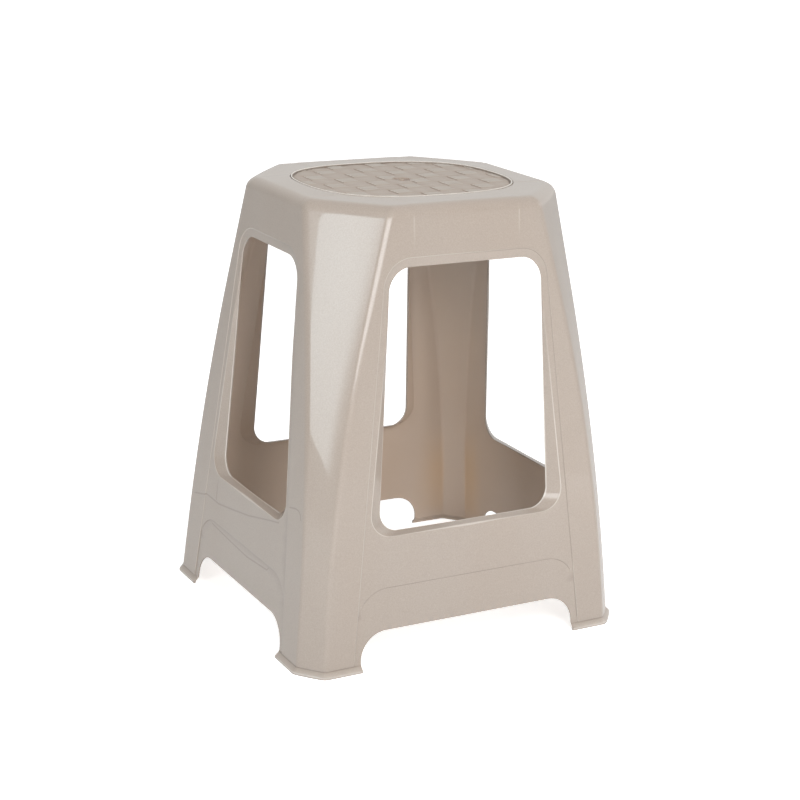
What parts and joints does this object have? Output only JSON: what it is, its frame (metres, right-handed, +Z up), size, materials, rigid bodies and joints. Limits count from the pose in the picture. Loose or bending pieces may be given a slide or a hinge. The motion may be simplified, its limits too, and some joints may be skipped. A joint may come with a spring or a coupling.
{
  "type": "stacking stool",
  "caption": "Moulded plastic stacking stool with splayed chamfered legs, a window and an arch in each side, flared feet and a basket-weave seat inlay.",
  "frame": {"origin": "on the floor, under the middle of the seat", "axes": "+Z up; +X to the right and -Y to the front, where front and back are the wider sides"},
  "size_m": [0.3708, 0.349, 0.45],
  "materials": {
    "moulded_plastic": "glossy warm beige polypropylene with a faint pearl",
    "woven_seat_plastic": "satin beige polypropylene with a basket-weave relief"
  },
  "bodies": {
    "root": {"seat_panel": "woven_seat_plastic", "seat_rim": "moulded_plastic", "under_seat_hoop": "moulded_plastic", "under_seat_rib_1": "moulded_plastic", "under_seat_rib_2": "moulded_plastic", "under_seat_rib_3": "moulded_plastic", "under_seat_rib_4": "moulded_plastic", "under_seat_rib_5": "moulded_plastic", "apron_front": "moulded_plastic", "apron_right": "moulded_plastic", "apron_back": "moulded_plastic", "apron_left": "moulded_plastic", "lower_rail_front": "moulded_plastic", "lower_rail_right": "moulded_plastic", "lower_rail_back": "moulded_plastic", "lower_rail_left": "moulded_plastic", "leg_front_left": "moulded_plastic", "leg_front_right": "moulded_plastic", "leg_back_right": "moulded_plastic", "leg_back_left": "moulded_plastic", "foot_front_left": "moulded_plastic", "foot_front_right": "moulded_plastic", "foot_back_right": "moulded_plastic", "foot_back_left": "moulded_plastic"}
  },
  "joints": []
}
